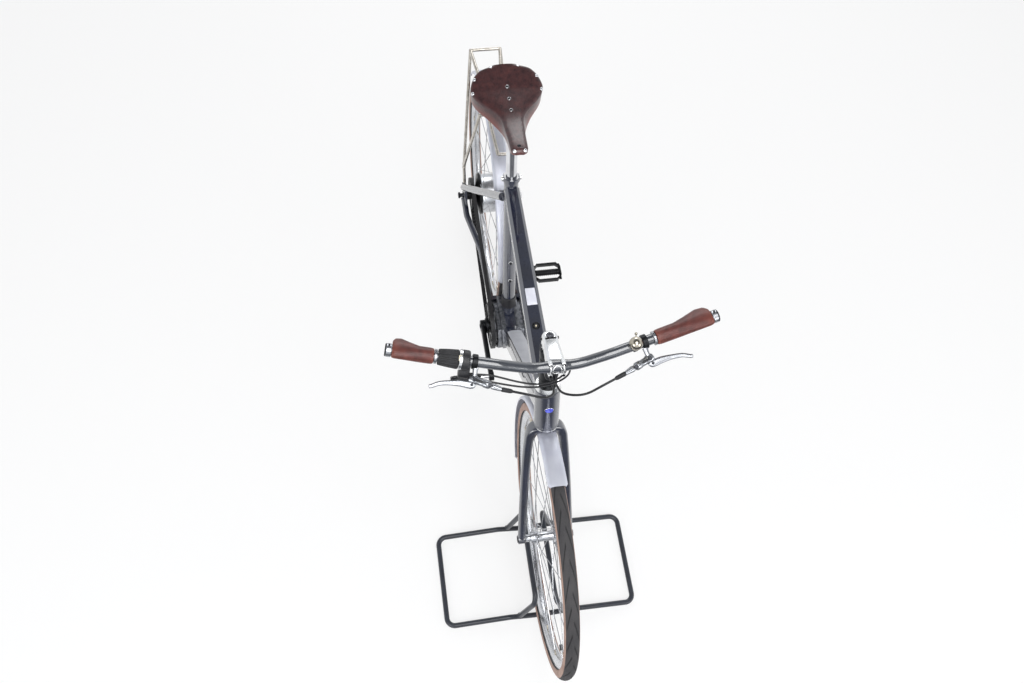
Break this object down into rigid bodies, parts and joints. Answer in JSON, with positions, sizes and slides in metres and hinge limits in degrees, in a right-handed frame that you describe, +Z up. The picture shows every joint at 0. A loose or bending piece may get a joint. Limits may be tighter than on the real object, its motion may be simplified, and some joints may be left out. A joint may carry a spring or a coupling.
{
  "type": "electric city bicycle in a display stand",
  "caption": "City bicycle with a hub motor, belt drive, leather saddle and grips, steel rack and fenders, its front wheel held in a floor stand.",
  "frame": {"origin": "on the floor, on the middle plane of the wheels and halfway between the two axles", "axes": "+X forwards, +Y to the rider's left, +Z up"},
  "size_m": [1.739, 0.6816, 1.004],
  "materials": {
    "navy_enamel": "deep navy gloss enamel under clear coat",
    "black_powder_coat": "satin black powder coat",
    "silver_alloy": "polished and brushed aluminium",
    "cast_alloy": "sand-cast aluminium, bead blasted",
    "silver_fender": "anodised aluminium strip",
    "stainless_rod": "drawn stainless tube",
    "chrome_rail": "chromium plated steel",
    "saddle_leather": "waxed dark brown saddle leather",
    "grip_leather": "red-brown stitched leather",
    "black_plastic": "moulded black polymer",
    "black_anodised": "black anodised aluminium",
    "grey_cover": "light grey lacquered cover",
    "tyre_rubber": "black tyre rubber with a tan sidewall line",
    "belt_rubber": "black carbon-cord belt",
    "rotor_steel": "stainless rotor",
    "spoke_steel": "bright stainless wire"
  },
  "bodies": {
    "front_end": {"display_stand": "black_powder_coat", "wheel_holder": "black_powder_coat", "fork": "navy_enamel", "headset_spacers": "black_anodised", "stem": "silver_alloy", "stem_faceplate": "silver_alloy", "handlebar": "navy_enamel", "grip_left": "grip_leather", "grip_right": "grip_leather", "grip_clamps": "silver_alloy", "twist_shifter": "black_plastic", "brake_lever_left": "silver_alloy", "brake_lever_right": "silver_alloy", "bell": "chrome_rail", "brake_hoses": "black_plastic", "shift_cables": "black_plastic", "front_fender": "silver_fender", "front_axle": "silver_alloy", "front_caliper": "black_anodised"},
    "front_wheel": {"front_tyre": "tyre_rubber", "front_rim": "silver_alloy", "front_spokes": "spoke_steel", "front_hub": "silver_alloy", "front_disc": "rotor_steel"},
    "frame": {"head_tube": "navy_enamel", "top_tube": "navy_enamel", "down_tube": "navy_enamel", "seat_tube": "navy_enamel", "frame_yoke": "navy_enamel", "chain_stays": "navy_enamel", "seat_stays": "navy_enamel", "gearbox": "cast_alloy", "battery_cover": "grey_cover", "seat_clamp": "black_anodised", "seatpost": "silver_alloy", "saddle_cover": "saddle_leather", "saddle_rails": "chrome_rail", "rear_fender": "silver_fender", "rear_rack": "stainless_rod", "drive_belt": "belt_rubber", "rear_axle": "silver_alloy", "rear_caliper": "black_anodised"},
    "rear_wheel": {"rear_tyre": "tyre_rubber", "rear_rim": "silver_alloy", "rear_spokes": "spoke_steel", "rear_hub_motor": "black_anodised", "rear_disc": "rotor_steel", "rear_cog": "black_anodised"},
    "cranks": {"crankset": "black_anodised", "front_sprocket": "black_anodised"},
    "right_pedal": {"pedal_right": "black_anodised"},
    "left_pedal": {"pedal_left": "black_anodised"}
  },
  "joints": [
    {"name": "steering", "type": "hinge", "parent": "front_end", "child": "frame", "pos_m": [0.3471, 0, 0.704], "axis": [-0.3305, 0, 0.9438], "range_deg": [-60, 60]},
    {"name": "front_wheel_spin", "type": "hinge", "parent": "front_end", "child": "front_wheel", "pos_m": [0.5265, 0, 0.343], "axis": [0, 1, 0], "continuous": true},
    {"name": "rear_wheel_spin", "type": "hinge", "parent": "frame", "child": "rear_wheel", "pos_m": [-0.5265, 0, 0.343], "axis": [0, 1, 0], "continuous": true},
    {"name": "crank_turn", "type": "hinge", "parent": "frame", "child": "cranks", "pos_m": [-0.103, 0, 0.301], "axis": [0, 1, 0], "continuous": true},
    {"name": "right_pedal_spin", "type": "hinge", "parent": "cranks", "child": "right_pedal", "pos_m": [0.06535, 0, 0.32466], "axis": [0, 1, 0], "continuous": true},
    {"name": "left_pedal_spin", "type": "hinge", "parent": "cranks", "child": "left_pedal", "pos_m": [-0.27135, 0, 0.27734], "axis": [0, 1, 0], "continuous": true}
  ]
}
